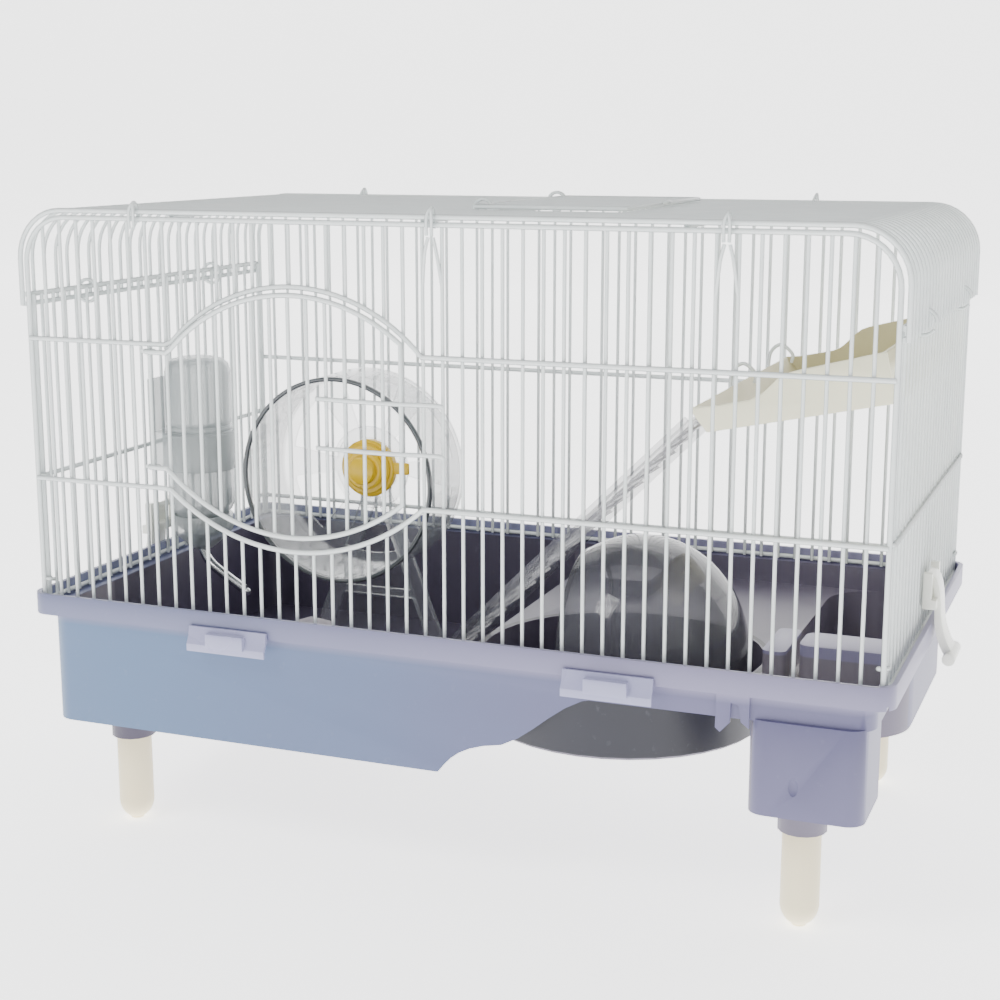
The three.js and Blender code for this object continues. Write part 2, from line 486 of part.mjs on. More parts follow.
add('tray', tray(), 'tray');
for (const [name, sx, sy] of [['leg_front_left', -1, -1], ['leg_front_right', 1, -1],
  ['leg_rear_left', -1, 1], ['leg_rear_right', 1, 1]]) {
  add(name, leg(), 'leg').position.set(sx * legX, sy * legY, 0);
}
add('front_panel', frontPanel(), 'wire');
add('back_panel', backPanel(), 'wire');
add('left_panel', sidePanel(-1), 'wire');
add('right_panel', sidePanel(1), 'wire');
add('lid_panel', lidPanel(), 'wire');
add('top_hatch', topHatch(), 'wire');
add('front_door', frontDoor(), 'wire');
for (const [name, x, side] of [['lid_tie_front_left', tie.front[0], -1],
  ['lid_tie_front_middle', tie.front[1], -1], ['lid_tie_front_right', tie.front[2], -1],
  ['lid_tie_rear_left', tie.rear[0], 1], ['lid_tie_rear_right', tie.rear[1], 1]]) {
  add(name, lidTie(x, side), 'wire');
}
for (const [name, side, y] of [['seam_ring_left_front', -1, -seamRingY], ['seam_ring_left_rear', -1, seamRingY],
  ['seam_ring_right_front', 1, -seamRingY], ['seam_ring_right_rear', 1, seamRingY]]) {
  add(name, ring(side * (halfX + 2.4), y, (seamZ + lidHem + 2) / 2, 6.2, tie.r), 'wire');
}
for (const [name, x] of [['hatch_ring_front', -46.8], ['hatch_ring_rear', 67.6]]) {
  add(name, ring(hatch.x0 + 0.6, x, lidZ + 0.8, 5.2, tie.r), 'wire');
}
add('front_clip_left', frontClip(clip.left), 'clip');
add('front_clip_right', frontClip(clip.right), 'clip');
add('side_latch_left', sideLatch(-1), 'latch');
add('side_latch_right', sideLatch(1), 'latch');
wheelParts();
bottleParts();
shelfParts();
add('ladder', ladderSolid(), 'smoke');
add('dome_house', domeHouse(), 'smoke');

// Stand the cage on the ground with its bounding box centred over the origin.
const bounds = new THREE.Box3().setFromObject(cage);
cage.position.set(-(bounds.min.x + bounds.max.x) / 2, -(bounds.min.y + bounds.max.y) / 2, -bounds.min.z);

export default cage;
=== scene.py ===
import math

import bmesh
import bpy
from mathutils import Matrix, Vector


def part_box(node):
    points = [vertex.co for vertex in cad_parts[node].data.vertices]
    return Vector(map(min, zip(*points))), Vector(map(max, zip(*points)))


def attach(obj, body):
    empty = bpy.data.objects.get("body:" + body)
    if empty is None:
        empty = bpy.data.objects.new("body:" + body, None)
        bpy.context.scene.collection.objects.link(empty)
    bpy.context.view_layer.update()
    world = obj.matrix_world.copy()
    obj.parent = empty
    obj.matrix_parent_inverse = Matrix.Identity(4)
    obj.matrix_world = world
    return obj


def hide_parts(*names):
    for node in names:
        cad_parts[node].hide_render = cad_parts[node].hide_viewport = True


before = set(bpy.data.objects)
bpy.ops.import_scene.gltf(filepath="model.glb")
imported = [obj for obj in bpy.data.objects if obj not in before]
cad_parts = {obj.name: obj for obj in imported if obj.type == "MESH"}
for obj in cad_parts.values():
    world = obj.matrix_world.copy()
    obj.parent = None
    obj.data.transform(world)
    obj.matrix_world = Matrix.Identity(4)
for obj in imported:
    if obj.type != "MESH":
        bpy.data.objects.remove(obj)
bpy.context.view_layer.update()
mm = 0.001


# Shader maths as expressions: a Field wraps a socket, a Paint holds one material's nodes

class Field:
    def __init__(self, paint, socket):
        self.paint = paint
        self.socket = socket

    def maths(self, operation, other, flipped=False):
        pair = (other, self) if flipped else (self, other)
        return self.paint.maths(operation, *pair)

    def __add__(self, other):
        return self.maths("ADD", other)

    def __radd__(self, other):
        return self.maths("ADD", other, True)

    def __sub__(self, other):
        return self.maths("SUBTRACT", other)

    def __rsub__(self, other):
        return self.maths("SUBTRACT", other, True)

    def __mul__(self, other):
        return self.maths("MULTIPLY", other)

    def __truediv__(self, other):
        return self.maths("DIVIDE", other)

    def __pow__(self, other):
        return self.maths("POWER", other)

    def clamped(self):
        return self.paint.node("ShaderNodeClamp", {}, {0: self})


class Paint:
    def __init__(self, name):
        self.material = bpy.data.materials.new(name)
        self.material.use_nodes = True
        self.tree = self.material.node_tree
        self.tree.nodes.clear()
        self.end = self.tree.nodes.new("ShaderNodeOutputMaterial")
        self.place = self.node("ShaderNodeTexCoord", {}, {}, "Object")
        self.x = self.node("ShaderNodeSeparateXYZ", {}, {0: self.place}, "X")
        self.y = self.node("ShaderNodeSeparateXYZ", {}, {0: self.place}, "Y")
        self.z = self.node("ShaderNodeSeparateXYZ", {}, {0: self.place}, "Z")

    def node(self, kind, settings, inputs, output=0):
        made = self.tree.nodes.new(kind)
        for key, value in settings.items():
            setattr(made, key, value)
        for key, value in inputs.items():
            if isinstance(value, Field):
                self.tree.links.new(value.socket, made.inputs[key])
            else:
                made.inputs[key].default_value = value
        return Field(self, made.outputs[output])

    def noise(self, scale, detail=3.0, roughness=0.5):
        return self.node("ShaderNodeTexNoise", {}, {"Vector": self.place, "Scale": scale, "Detail": detail,
                                                    "Roughness": roughness}, "Fac")

    def blend(self, factor, first, second):
        return self.node("ShaderNodeMix", {"data_type": "RGBA"}, {"Factor": factor, 6: first, 7: second}, 2)

    def bump(self, height, strength, distance):
        return self.node("ShaderNodeBump", {}, {"Height": height, "Strength": strength, "Distance": distance},
                         "Normal")

    def maths(self, operation, first, second):
        return self.node("ShaderNodeMath", {"operation": operation}, {0: first, 1: second})

    def turn(self, amount=0.5):
        return self.node("ShaderNodeLayerWeight", {}, {"Blend": amount}, "Facing")

    def above(self, value, level, soft):
        # 0 up to the level, rising to 1 over the soft width
        return ((value - level) / soft).clamped()

    def below(self, value, level, soft):
        return ((level - value) / soft).clamped()

    def between(self, value, low, high, soft):
        return self.above(value, low, soft) * self.below(value, high, soft)

    def patch(self, spanX, spanY, soft):
        # 1 inside a rectangle seen from above
        return self.between(self.x, *spanX, soft) * self.between(self.y, *spanY, soft)

    def distance(self, first, second):
        return self.maths("SQRT", first * first + second * second, 0)

    def past(self, value, reach):
        # how far the value lies beyond the reach on either side of 0
        return self.maths("MAXIMUM", self.maths("ABSOLUTE", value, 0) - reach, 0)

    def surface(self, **inputs):
        named = {key.replace("_", " "): value for key, value in inputs.items()}
        shader = self.node("ShaderNodeBsdfPrincipled", {}, named, "BSDF")
        self.tree.links.new(shader.socket, self.end.inputs["Surface"])
        return self.material


def linear(red, green, blue):
    def part(value):
        value /= 255
        return value / 12.92 if value <= 0.04045 else ((value + 0.055) / 1.055) ** 2.4
    return (part(red), part(green), part(blue), 1.0)


def powderCoat():
    paint = Paint("powderCoat")
    look = {"light": linear(250, 254, 253), "dull": linear(232, 240, 240), "edge": linear(62, 72, 76),
            "edgeFall": 1.6, "edgeDepth": 0.9, "peelScale": 1500.0}
    cloud = paint.noise(45.0)
    peel = paint.noise(look["peelScale"], 2.0)
    coat = paint.blend(cloud, look["light"], look["dull"])
    # painted shade: the coat darkens to the edge colour where the wire turns away, along its outline
    shade = (paint.turn(0.5) ** look["edgeFall"]) * look["edgeDepth"]
    return paint.surface(Base_Color=paint.blend(shade, coat, look["edge"]), Roughness=0.28 + cloud * 0.14,
                         Specular_IOR_Level=0.55, Normal=paint.bump(peel, 0.16, 0.0004))


def trayPlastic():
    paint = Paint("trayPlastic")
    look = {"rim": linear(114, 118, 150), "rimRight": linear(134, 130, 160),
            "wall": linear(84, 110, 146), "wallRight": linear(98, 96, 130),
            "deep": linear(72, 66, 86), "deepRight": linear(106, 100, 118),
            "bowlOutside": linear(26, 27, 40), "terrain": linear(124, 118, 130),
            "scuff": linear(190, 190, 208), "scuffDepth": 0.05, "grainScale": 2400.0}
    # places on the moulding in metres, so that each colour ends at an edge
    inner = {"halfX": 0.214, "halfY": 0.115, "cornerR": 0.0112, "underRim": 0.0074, "soft": 0.0006}
    right = {"deckX": 0.1585, "deckZ": 0.1105, "wellX": (0.1678, 0.2222), "wellY": (-0.1232, -0.0747),
             "basinX": (0.1599, 0.2252), "basinY": (-0.0239, 0.129)}
    raised = {"spanX": (0.152, 0.235), "backY": 0.045, "z": 0.098, "moundX": -0.05, "moundY": -0.062,
              "moundZ": 0.09}
    bowl = {"x": 0.080, "y": -0.0435, "skin": (0.0753, 0.0785), "top": 0.124}
    level = 0.0008
    low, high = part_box("tray")
    cloud = paint.noise(9.0, 4.0)
    grain = paint.noise(look["grainScale"], 2.0)
    scuff = paint.noise(160.0, 5.0, 0.65)
    marks = ((scuff - 0.62) * 8.0).clamped()
    # walls and rim turn from blue-grey on the left to lavender on the right
    across = ((paint.x + 0.16) / 0.30 + cloud * 0.5 - 0.25).clamped()
    wall = paint.blend(across, look["wall"], look["wallRight"])
    # painted shade: the wall under the rim takes darker, bluer copies of the lit rim colour
    skirt = paint.below(paint.z, high.z - 0.0125, 0.004)
    colour = paint.blend(skirt, paint.blend(across, look["rim"], look["rimRight"]), wall)
    # painted shade inside the tray: a rounded rectangle, and on the right only the two pockets in the deck
    corner = paint.distance(paint.past(paint.x, inner["halfX"]),
                            paint.past(paint.y - (low.y + high.y) / 2, inner["halfY"]))
    insideShade = paint.below(corner, inner["cornerR"], inner["soft"])
    insideShade = insideShade * paint.below(paint.z, high.z - inner["underRim"], level)
    pockets = (paint.patch(right["wellX"], right["wellY"], inner["soft"])
               + paint.patch(right["basinX"], right["basinY"], inner["soft"])).clamped()
    under = paint.above(paint.x, right["deckX"], inner["soft"]) * paint.below(paint.z, right["deckZ"], level)
    insideShade = insideShade * (1 - under * (1 - pockets))
    # painted light on the tops of the raised terrain, lifting them out of the painted shade
    blocks = paint.between(paint.x, *raised["spanX"], 0.008) * paint.below(paint.y, raised["backY"], 0.02)
    mounds = paint.below(paint.y, raised["moundY"], 0.004) * paint.below(paint.x, raised["moundX"], 0.004)
    lit = (blocks * paint.above(paint.z, raised["z"], 0.012)
           + mounds * paint.above(paint.z, raised["moundZ"], 0.02)).clamped()
    # painted shade on the inside, darkest on the left and lighter towards the right
    deep = paint.blend(paint.above(paint.x, 0.02, 0.16), look["deep"], look["deepRight"])
    floors = paint.blend(lit, deep, look["terrain"])
    # the outside of the round bowl, shaded by the rim
    fromBowl = paint.distance(paint.x - bowl["x"], paint.y - bowl["y"])
    outside = paint.between(fromBowl, *bowl["skin"], 0.0003) * paint.below(paint.z, bowl["top"], level)
    floors = paint.blend(outside, floors, look["bowlOutside"])
    colour = paint.blend(insideShade, colour, floors)
    worn = paint.blend(marks * look["scuffDepth"], colour, look["scuff"])
    return paint.surface(Base_Color=worn, Roughness=0.36 + cloud * 0.08 + marks * 0.1,
                         Specular_IOR_Level=0.5, Normal=paint.bump(grain, 0.10, 0.0003))


def mouldedPlastic(name, light, dark, rough, alpha=1.0, coat=0.0):
    paint = Paint(name)
    cloud = paint.noise(22.0, 3.0)
    grain = paint.noise(1800.0, 2.0)
    return paint.surface(Base_Color=paint.blend(cloud, light, dark), Roughness=rough + cloud * 0.1,
                         Coat_Weight=coat, Alpha=alpha, Normal=paint.bump(grain, 0.08, 0.0003))


def clearPlastic(name, tint, edge, face, rim, rough, fall=1.8):
    # nearly invisible face on, grey and glossy where the wall turns away
    paint = Paint(name)
    turn = paint.turn(0.5)
    cloud = paint.noise(30.0, 2.0)
    alpha = (face + (turn ** fall) * rim + cloud * 0.06).clamped()
    return paint.surface(Base_Color=paint.blend(turn, tint, edge), Roughness=rough + cloud * 0.06,
                         Alpha=alpha, Specular_IOR_Level=0.7, Coat_Weight=0.4)


def shelfPlastic():
    paint = Paint("shelfPlastic")
    look = {"outer": linear(252, 248, 218), "inner": linear(192, 182, 136), "tiltDegrees": 12,
            "sideWall": 0.0018, "floor": 0.0012, "endWall": 0.003}
    low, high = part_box("shelf_board")
    cloud = paint.noise(22.0, 3.0)
    # painted shade: the hollow of the shelf, under its own top, takes the darker tan inner colour
    slope = paint.z - (paint.x - low.x) * math.tan(math.radians(look["tiltDegrees"]))
    insideShade = paint.between(paint.y, low.y + look["sideWall"], high.y - look["sideWall"], 0.0004)
    insideShade = insideShade * paint.above(slope, low.z + look["floor"], 0.001)
    insideShade = insideShade * paint.below(paint.x, high.x - look["endWall"], 0.001)
    tint = paint.blend(insideShade * (0.75 + cloud * 0.25), look["outer"], look["inner"])
    return paint.surface(Base_Color=tint, Roughness=0.36 + cloud * 0.1,
                         Normal=paint.bump(paint.noise(1800.0, 2.0), 0.08, 0.0003))


def polishedSteel():
    paint = Paint("polishedSteel")
    streak = paint.noise(900.0, 3.0)
    return paint.surface(Base_Color=linear(206, 208, 210), Metallic=1.0, Roughness=0.16 + streak * 0.12,
                         Normal=paint.bump(streak, 0.05, 0.0002))


paints = {
    "wire": powderCoat(),
    "tray": trayPlastic(),
    "legs": mouldedPlastic("legPlastic", linear(253, 244, 208), linear(250, 232, 190), 0.32, coat=0.2),
    "clips": mouldedPlastic("clipPlastic", linear(184, 184, 218), linear(166, 166, 204), 0.22,
                            alpha=0.85, coat=0.3),
    "latches": mouldedPlastic("latchPlastic", linear(252, 252, 244), linear(240, 242, 232), 0.28, coat=0.3),
    "clear_plastic": clearPlastic("clearPlastic", linear(214, 218, 222), linear(120, 126, 130),
                                  0.07, 0.75, 0.08),
    "dark_plastic": mouldedPlastic("darkPlastic", linear(92, 96, 100), linear(60, 64, 68), 0.15, coat=0.6),
    "yellow_plastic": mouldedPlastic("yellowPlastic", linear(246, 208, 0), linear(226, 182, 0), 0.3,
                                     coat=0.2),
    "steel": polishedSteel(),
    "cream_plastic": shelfPlastic(),
    "smoke_plastic": clearPlastic("smokePlastic", linear(132, 132, 142), linear(52, 52, 62),
                                  0.20, 0.6, 0.06, 1.5),
    "frosted_plastic": clearPlastic("frostedPlastic", linear(206, 213, 213), linear(140, 150, 154),
                                    0.38, 0.45, 0.30),
}
print("materials ready")


# Making and finishing pieces

def finishPiece(piece, body, slot, nodes=()):
    piece.data.materials.clear()
    piece.data.materials.append(paints[slot])
    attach(piece, body)
    if nodes:
        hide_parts(*nodes)
    return piece


def pieceFrom(mesh, name, smoothAngle=35):
    made = bpy.data.meshes.new(name)
    mesh.to_mesh(made)
    mesh.free()
    made.polygons.foreach_set("use_smooth", [True] * len(made.polygons))
    made.set_sharp_from_angle(angle=math.radians(smoothAngle))
    piece = bpy.data.objects.new(name, made)
    bpy.context.scene.collection.objects.link(piece)
    return piece


def wirePiece(name, strokes, resolution=2):
    # strokes: (points, radius, closed); each becomes a round wire with closed ends
    curve = bpy.data.curves.new(name, "CURVE")
    curve.dimensions = "3D"
    curve.bevel_depth = mm
    curve.bevel_resolution = resolution
    curve.use_fill_caps = True
    for points, radius, closed in strokes:
        spline = curve.splines.new("POLY")
        spline.points.add(len(points) - 1)
        for point, place in zip(spline.points, points):
            point.co = (*place, 1.0)
            point.radius = radius / mm
        spline.use_cyclic_u = closed
    holder = bpy.data.objects.new(name + "Curve", curve)
    bpy.context.scene.collection.objects.link(holder)
    shape = holder.evaluated_get(bpy.context.evaluated_depsgraph_get())
    made = bpy.data.meshes.new_from_object(shape)
    mesh = bmesh.new()
    mesh.from_mesh(made)
    bpy.data.objects.remove(holder)
    bpy.data.meshes.remove(made)
    bmesh.ops.remove_doubles(mesh, verts=mesh.verts, dist=1e-6)
    bmesh.ops.recalc_face_normals(mesh, faces=mesh.faces)
    return pieceFrom(mesh, name, 50)


def turnedMesh(profile, steps=96):
    # profile: (radius, height) points from axis to axis, or a closed ring
    mesh = bmesh.new()
    points = [mesh.verts.new((radius, 0, height)) for radius, height in profile]
    edges = [mesh.edges.new(pair) for pair in zip(points, points[1:])]
    bmesh.ops.spin(mesh, geom=points + edges, cent=(0, 0, 0), axis=(0, 0, 1), angle=2 * math.pi, steps=steps,
                   use_merge=True)
    bmesh.ops.remove_doubles(mesh, verts=mesh.verts, dist=1e-6)
    bmesh.ops.recalc_face_normals(mesh, faces=mesh.faces)
    return mesh


def moved(mesh, turn, place):
    bmesh.ops.transform(mesh, verts=mesh.verts, matrix=Matrix.Translation(place) @ turn)
    return mesh


upright = Matrix.Identity(4)
facingFront = Matrix.Rotation(math.radians(-90), 4, "X")   # local +Z points to +Y


def smoothPath(points, steps=8):
    # Catmull-Rom through the points
    path = []
    ends = [points[0], *points, points[-1]]
    for i in range(1, len(ends) - 2):
        a, b, c, d = (Vector(p) for p in ends[i - 1:i + 3])
        for step in range(steps):
            t = step / steps
            path.append(0.5 * ((2 * b) + (c - a) * t + (2 * a - 5 * b + 4 * c - d) * t * t
                               + (3 * b - a - 3 * c + d) * t ** 3))
    path.append(Vector(points[-1]))
    return path


def softCopy(node, name, radius, segments=2, angle=28):
    # the node's own shape with its sharp edges rounded
    mesh = bmesh.new()
    mesh.from_mesh(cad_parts[node].data)
    bmesh.ops.remove_doubles(mesh, verts=mesh.verts, dist=2e-5)
    bmesh.ops.dissolve_limit(mesh, angle_limit=math.radians(1.0), verts=mesh.verts, edges=mesh.edges)
    sharp = [edge for edge in mesh.edges
             if edge.is_manifold and edge.calc_face_angle(0) > math.radians(angle)]
    bmesh.ops.bevel(mesh, geom=sharp, offset=radius, offset_type="OFFSET", affect="EDGES", segments=segments,
                    profile=0.5, clamp_overlap=True, material=-1)
    return pieceFrom(mesh, name, 40)


def straight(start, end, radius):
    return ([start, end], radius, False)


def bent(points, radius, steps=6):
    return (smoothPath(points, steps), radius, False)


def boxOf(node):
    # low corner, high corner, centre and half width
    low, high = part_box(node)
    return low, high, (low + high) / 2, (high.x - low.x) / 2


# Wire panels

wires = {"thin": 1.0 * mm, "rail": 1.35 * mm, "loop": 1.1 * mm, "frontBays": 44, "sideBays": 24,
         "cornerR": 24 * mm, "footLift": 1 * mm, "behind": 0.5 * mm, "ahead": 1.3 * mm}
frontLow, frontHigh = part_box("front_panel")
backLow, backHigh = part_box("back_panel")
lidLow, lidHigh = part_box("lid_panel")
half = (frontHigh.y - frontLow.y) / 2
frontY = (frontLow.y + frontHigh.y) / 2
backY = (backLow.y + backHigh.y) / 2
sideX = frontHigh.x - half
pitch = 2 * sideX / wires["frontBays"]
foot = frontLow.z + half
topRail = frontHigh.z - half
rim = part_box("tray")[1].z
edgeRail = rim + 6 * mm
lowRail = rim + 64 * mm
highRail = rim + 140 * mm
doorBays = (8, 21)      # the front wires beyond the first and up to the second stop at the doorway
door = {"left": -sideX + doorBays[0] * pitch, "right": -sideX + doorBays[1] * pitch,
        "hinge": -sideX + (doorBays[0] - 1) * pitch, "topRise": 32 * mm, "lowRise": 28 * mm,
        "proud": 3.4 * mm, "topGap": 4 * mm, "lowGap": 11 * mm, "loopR": 3.0 * mm, "steps": 60,
        "bars": (117 * mm, 92 * mm), "barR": 1.2 * mm}


def arch(u, a, b, rise):
    # height of a shallow arc between a and b
    span = (b - a) / 2
    if u <= a or u >= b:
        return 0.0
    r = (span * span + rise * rise) / (2 * rise)
    return math.sqrt(r * r - (u - (a + b) / 2) ** 2) - (r - rise)


def openingTop(u):
    return highRail + arch(u, door["left"] + 3 * mm, 0, door["topRise"])


def openingLow(u):
    return lowRail - arch(u, door["left"], 0, door["lowRise"])


def crown(u):
    # top of the front frame, which turns down at both corners
    over = abs(u) - (sideX - wires["cornerR"])
    r = wires["cornerR"]
    return topRail if over <= 0 else topRail - r + math.sqrt(max(0.0, r * r - over * over))


def quarterBend(x, z, r):
    # over the corner from the top to the side
    return [(x - r + r * math.sin(a), z - r + r * math.cos(a))
            for a in (math.radians(10 * i) for i in range(10))]


def archedFrame(y):
    # one wire up the left corner, along the top and down the right corner
    bend = quarterBend(sideX, topRail, wires["cornerR"])
    left = [(-x, z) for x, z in reversed(bend)]
    points = [(-sideX, foot), *left, *bend, (sideX, foot)]
    return [Vector((x, y, z)) for x, z in points]


def railPoints(height, y, a, b, steps=120):
    return [Vector((a + (b - a) * i / steps, y, height(a + (b - a) * i / steps))) for i in range(steps + 1)]


# paired wires below the roof ties: how far each point is out from the middle and down from the top
tieLegs = {"at": (5.2 * mm, 150.8 * mm), "r": 0.9 * mm,
           "points": ((1.3 * mm, 6 * mm), (3.2 * mm, 14 * mm), (5.2 * mm, 30 * mm))}


def frontPanel():
    behind = frontY + wires["behind"]
    ahead = frontY - wires["ahead"]
    strokes = [(archedFrame(frontY - 0.3 * mm), wires["rail"], False)]
    for i in range(1, wires["frontBays"]):
        x = -sideX + i * pitch
        top = crown(x)
        if doorBays[0] < i <= doorBays[1]:
            strokes.append(straight((x, behind, foot), (x, behind, openingLow(x)), wires["thin"]))
            strokes.append(straight((x, behind, openingTop(x)), (x, behind, top), wires["thin"]))
        else:
            strokes.append(straight((x, behind, foot), (x, behind, top), wires["thin"]))
    for height in (openingLow, openingTop):
        strokes.append((railPoints(height, ahead, -sideX, sideX), wires["rail"], False))
    y = behind + 1.6 * mm
    z = foot + wires["footLift"]
    strokes.append(straight((-sideX, y, z), (sideX, y, z), wires["rail"]))
    for x in tieLegs["at"]:
        for side in (-1, 1):
            path = [(x + side * out, y, topRail - down)
                    for (out, down), y in zip(tieLegs["points"], (ahead, ahead, behind))]
            strokes.append(bent(path, tieLegs["r"], 5))
    finishPiece(wirePiece("frontGrille", strokes), "cage", "wire", ["front_panel"])


def backPanel():
    ahead = backY - wires["behind"]
    y = backY + wires["ahead"]
    strokes = [(archedFrame(backY + 0.3 * mm), wires["rail"], False)]
    for i in range(1, wires["frontBays"]):
        x = -sideX + i * pitch
        strokes.append(straight((x, ahead, foot), (x, ahead, crown(x)), wires["thin"]))
    for z in (foot + wires["footLift"], edgeRail, rim + 100.6 * mm):
        strokes.append(straight((-sideX, y, z), (sideX, y, z), wires["rail"]))
    finishPiece(wirePiece("backGrille", strokes), "cage", "wire", ["back_panel"])


# small loops that tie each side panel to the front and the back
sideTies = {"reach": 4 * mm, "inward": 2 * mm, "deepest": 2.6 * mm, "rise": 1 * mm}


def sidePanel(name, node, side):
    low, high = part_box(node)
    x = (low.x + high.x) / 2
    inner = x - side * 0.4 * mm
    outer = x + side * 1.2 * mm
    base = low.z + half
    top = high.z - half
    first = low.y + half
    last = high.y - half
    strokes = []
    for i in range(1, wires["sideBays"]):
        y = frontY + i * pitch
        strokes.append(straight((inner, y, base), (inner, y, top), wires["thin"]))
    for y, loop in ((first, sideTies["reach"]), (last, -sideTies["reach"])):
        strokes.append(straight((inner, y, base), (inner, y, top), wires["rail"]))
        for z in (lowRail, edgeRail):
            path = [(outer, y + loop, z), (outer, y - loop * 0.3, z + sideTies["rise"]),
                    (inner - side * sideTies["inward"], y - loop * 0.7, z + sideTies["rise"]),
                    (inner - side * sideTies["deepest"], y + loop * 0.4, z)]
            strokes.append(bent(path, wires["loop"]))
    for z in (base + wires["footLift"], lowRail, top):
        strokes.append(straight((outer, first, z), (outer, last, z), wires["rail"]))
    finishPiece(wirePiece(name, strokes), "cage", "wire", [node])


lid = {"x": lidHigh.x - half, "r": 26 * mm, "z": lidHigh.z - half, "hem": lidLow.z + 1 * mm,
       "hemGap": 5 * mm, "under": 1.9 * mm, "x0": 0.0, "x1": 78 * mm, "cross": (-140 * mm, 131 * mm),
       "bay0": 6, "bay1": 20}


def lidBend(side, y):
    bend = [Vector((side * x, y, z)) for x, z in quarterBend(lid["x"], lid["z"], lid["r"])]
    return [*bend, Vector((side * lid["x"], y, lid["hem"]))]


def lidPanel():
    strokes = []
    for i in range(wires["sideBays"] + 1):
        y = frontY + i * pitch
        r = wires["rail"] if i in (0, wires["sideBays"]) else wires["thin"]
        left = list(reversed(lidBend(-1, y)))
        right = lidBend(1, y)
        if lid["bay0"] < i < lid["bay1"]:
            strokes.append(([*left, Vector((lid["x0"], y, lid["z"]))], r, False))
            strokes.append(([Vector((lid["x1"], y, lid["z"])), *right], r, False))
        else:
            strokes.append(([*left, *right], r, False))
    under = lid["z"] - lid["under"]
    first = frontY + 1.4 * mm
    last = backY - 1.4 * mm
    for x in (*lid["cross"], lid["x0"]):
        strokes.append(straight((x, first, under), (x, last, under), wires["rail"]))
    hatchFront = frontY + lid["bay0"] * pitch
    hatchBack = frontY + lid["bay1"] * pitch
    strokes.append(straight((lid["x1"], hatchFront, under), (lid["x1"], hatchBack, under), wires["rail"]))
    for side in (-1, 1):
        for lift in (0, lid["hemGap"]):
            x = side * (lid["x"] - 1.8 * mm)
            z = lid["hem"] + lift + 1 * mm
            strokes.append(straight((x, frontY, z), (x, backY, z), wires["rail"]))
    finishPiece(wirePiece("roofGrille", strokes), "cage", "wire", ["lid_panel"])


hatch = {"tipY": 12 * mm, "tipHalf": 5 * mm, "tipTurn": 3 * mm, "tipOut": 1 * mm, "tipBack": 2 * mm}


def roofHatch():
    low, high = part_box("top_hatch")
    z = (low.z + high.z) / 2
    left = low.x + half
    right = high.x - half
    frameWire = [(left, low.y + half, z), (right, low.y + half, z),
                 (right, high.y - half, z), (left, high.y - half, z)]
    strokes = [(frameWire, wires["rail"], True)]
    for i in range(lid["bay0"] + 1, lid["bay1"]):
        y = frontY + i * pitch
        strokes.append(straight((left, y, z), (right, y, z), wires["thin"]))
    # finger loop on the free edge
    tipX = high.x + hatch["tipOut"]
    path = [(high.x - hatch["tipBack"], hatch["tipY"] - hatch["tipHalf"], z),
            (tipX, hatch["tipY"] - hatch["tipTurn"], z + 1 * mm),
            (tipX, hatch["tipY"] + hatch["tipTurn"], z + 1 * mm),
            (high.x - hatch["tipBack"], hatch["tipY"] + hatch["tipHalf"], z)]
    strokes.append(bent(path, 1.0 * mm, 5))
    finishPiece(wirePiece("roofHatch", strokes), "top_hatch", "wire", ["top_hatch"])


def frontDoor():
    y = frontY - door["proud"]
    left, right, hinge = door["left"], door["right"], door["hinge"]

    def top(u):
        return openingTop(u) - door["topGap"]

    def low(u):
        return openingLow(u) + door["lowGap"] - 3 * arch(u, left, 0, 1 * mm)

    across = [left + (right - left) * i / door["steps"] for i in range(door["steps"] + 1)]
    upper = [Vector((hinge, y + 0.4 * mm, top(left))), *[Vector((u, y, top(u))) for u in across]]
    lower = [Vector((hinge, y + 0.4 * mm, low(left))), *[Vector((u, y, low(u))) for u in across]]
    strokes = [([*upper, *reversed(lower)], wires["rail"], False)]
    # hinge loops round one front wire
    for z in (top(left), low(left)):
        ring = [Vector((hinge + door["loopR"] * math.cos(a), frontY + door["loopR"] * math.sin(a), z))
                for a in (math.radians(-90 + 18 * i) for i in range(-1, 17))]
        strokes.append((ring, wires["loop"], False))
    for i in range(doorBays[0] + 1, doorBays[1]):
        x = -sideX + i * pitch
        strokes.append(straight((x, y + 1.2 * mm, low(x)), (x, y + 1.2 * mm, top(x)), wires["thin"]))
    # two long latch bars that slip past the neighbouring front wires
    for rise in door["bars"]:
        z = rim + rise
        path = [(-57 * mm, y - 0.6 * mm, z), (-20 * mm, y - 0.8 * mm, z - 0.4 * mm),
                (8 * mm, y - 0.6 * mm, z), (12 * mm, y - 0.2 * mm, z - 1.2 * mm)]
        strokes.append(bent(path, door["barR"]))
    finishPiece(wirePiece("frontDoor", strokes), "front_door", "wire", ["front_door"])


ties = {"r": 0.85 * mm, "apart": 1.3 * mm, "shoulder": 5 * mm, "peak": 1.2 * mm, "tailLift": 3 * mm}


def roofTies():
    for node in [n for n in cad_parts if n.startswith("lid_tie")]:
        low, high, centre, _ = boxOf(node)
        x, y = centre.x, centre.y
        strokes = []
        for side in (-1, 1):
            leg = x + side * ties["apart"]
            path = [(leg, low.y + 1 * mm, low.z), (leg, low.y + 0.9 * mm, high.z - ties["shoulder"]),
                    (x, y - ties["peak"], high.z - 1 * mm), (x, y + ties["peak"], high.z - 1 * mm),
                    (x, high.y - 0.9 * mm, high.z - ties["shoulder"]),
                    (x, high.y - 1 * mm, low.z + ties["tailLift"])]
            strokes.append(bent(path, ties["r"]))
        finishPiece(wirePiece(node + "_wire", strokes), "cage", "wire", [node])


